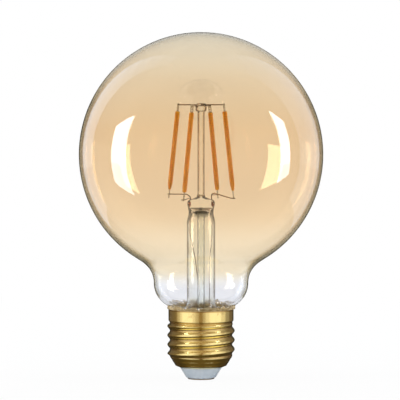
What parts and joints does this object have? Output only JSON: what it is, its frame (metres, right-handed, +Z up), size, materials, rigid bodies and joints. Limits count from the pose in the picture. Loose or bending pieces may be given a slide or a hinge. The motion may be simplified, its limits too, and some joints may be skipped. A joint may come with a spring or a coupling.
{
  "type": "globe bulb",
  "caption": "Globe lamp: amber glass ball that fades to clear at the neck, LED filaments on a glass stem, brass screw cap with a centre contact.",
  "frame": {"origin": "middle of the centre contact's face at the foot of the cap", "axes": "+Z up the lamp's axis to the crown of the globe, -Y to the front, +X to the right"},
  "size_m": [0.095, 0.095, 0.135],
  "materials": {
    "amber_glass": "clear amber tint that fades at the neck",
    "clear_glass": "clear, fire polished",
    "basing_cement": "resin, slightly ragged",
    "cap_brass": "bright rolled",
    "pale_insulator": "smooth",
    "contact_metal": "tinned",
    "phosphor_coat": "satin silicone with phosphor",
    "tab_steel": "stamped strip",
    "nickel_wire": "drawn wire",
    "seal_wire": "copper clad, reddish",
    "copper_wire": "drawn copper",
    "board_laminate": "solder mask",
    "chip_plastic": "moulded",
    "capacitor_sleeve": "sleeved can",
    "fuse_coating": "dipped"
  },
  "bodies": {
    "root": {"glass_envelope": "amber_glass", "stem_flare": "clear_glass", "exhaust_tube": "clear_glass", "support_rod": "clear_glass", "basing_cement": "basing_cement", "screw_shell": "cap_brass", "cap_insulator": "pale_insulator", "centre_contact": "contact_metal", "support_wire_outer": "nickel_wire", "support_wire_inner": "nickel_wire", "driver_board": "board_laminate", "bridge_rectifier": "chip_plastic", "driver_chip": "chip_plastic", "smoothing_capacitor": "capacitor_sleeve", "fuse_resistor": "fuse_coating", "live_wire": "copper_wire", "neutral_wire": "copper_wire", "led_filament_front_right": "phosphor_coat", "upper_tab_front_right": "tab_steel", "lower_tab_front_right": "tab_steel", "led_filament_back_right": "phosphor_coat", "upper_tab_back_right": "tab_steel", "lower_tab_back_right": "tab_steel", "led_filament_back_left": "phosphor_coat", "upper_tab_back_left": "tab_steel", "lower_tab_back_left": "tab_steel", "led_filament_front_left": "phosphor_coat", "upper_tab_front_left": "tab_steel", "lower_tab_front_left": "tab_steel", "inner_lead_left": "nickel_wire", "branch_wire_left": "nickel_wire", "seal_wire_left": "seal_wire", "tail_wire_left": "copper_wire", "inner_lead_right": "nickel_wire", "branch_wire_right": "nickel_wire", "seal_wire_right": "seal_wire", "tail_wire_right": "copper_wire"}
  },
  "joints": []
}
